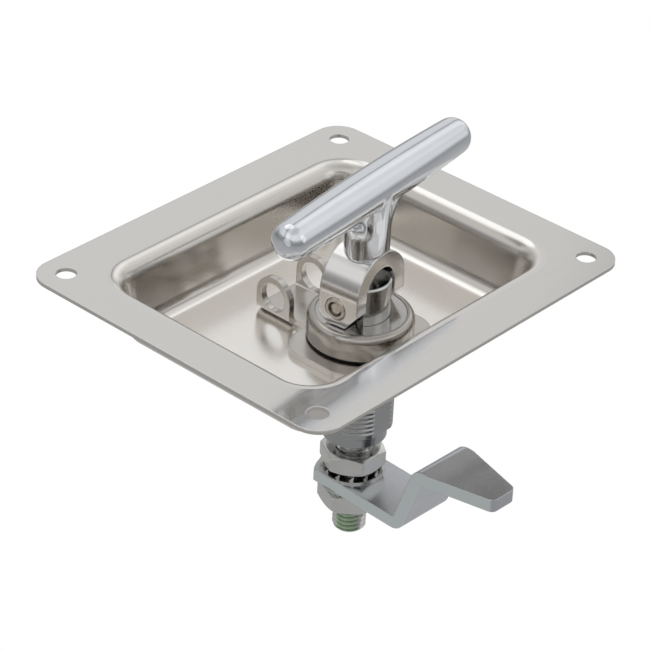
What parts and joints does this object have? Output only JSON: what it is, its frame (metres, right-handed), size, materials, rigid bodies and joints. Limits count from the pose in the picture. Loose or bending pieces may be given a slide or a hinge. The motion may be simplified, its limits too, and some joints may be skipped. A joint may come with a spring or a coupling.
{
  "type": "folding t-handle lock",
  "caption": "Folding T-handle lock in a recessed rectangular stainless pan, with padlock ears, a round lock head, a threaded barrel and a bent cam that reaches behind the frame.",
  "frame": {"origin": "middle of the pan's four screw holes, on the underside of the flange that lies on the door", "axes": "+Z out of the door towards the person who opens it, +Y along the pan's long side, +X towards the side where the cam reaches behind the frame"},
  "size_m": [0.1262, 0.13, 0.1206],
  "materials": {
    "pan_steel": "satin",
    "staple_steel": "satin",
    "barrel_steel": "machined",
    "handle_chrome": "polished",
    "fork_steel": "tumbled",
    "spindle_steel": "machined",
    "rivet_steel": "satin",
    "zinc_cam": "zinc plated",
    "zinc_nuts": "zinc plated",
    "washer_steel": "zinc plated",
    "black_rubber": "matt"
  },
  "bodies": {
    "housing": {"pan": "pan_steel", "padlock_staple": "staple_steel", "head_gasket": "black_rubber", "barrel": "barrel_steel", "barrel_washer": "zinc_nuts", "barrel_nut": "zinc_nuts"},
    "rotor": {"wear_washer": "washer_steel"},
    "shaft": {"spindle": "spindle_steel", "upper_o_ring": "black_rubber", "lower_o_ring": "black_rubber", "upper_nut": "zinc_nuts", "upper_tooth_washer": "washer_steel", "cam": "zinc_cam", "lower_tooth_washer": "washer_steel", "lower_nut": "zinc_nuts"},
    "handle": {"t_handle": "handle_chrome", "fork": "fork_steel", "fork_pin": "rivet_steel"}
  },
  "joints": [
    {"name": "handle_turn", "type": "hinge", "parent": "housing", "child": "rotor", "pos_m": [0.0127, 0, 0], "axis": [0, 0, 1], "range_deg": [-6, 84]},
    {"name": "spindle_lift", "type": "slide", "parent": "rotor", "child": "shaft", "axis": [0, 0, 1], "range_m": [0, 0.0011]},
    {"name": "handle_fold", "type": "hinge", "parent": "shaft", "child": "handle", "pos_m": [0.01161, -0.00012, -0.0027], "axis": [0.1045, -0.9945, 0], "range_deg": [0, 75]}
  ],
  "couplings": [
    {"joint": "spindle_lift", "follows": "handle_fold", "m_per_rad": 0.0008}
  ]
}
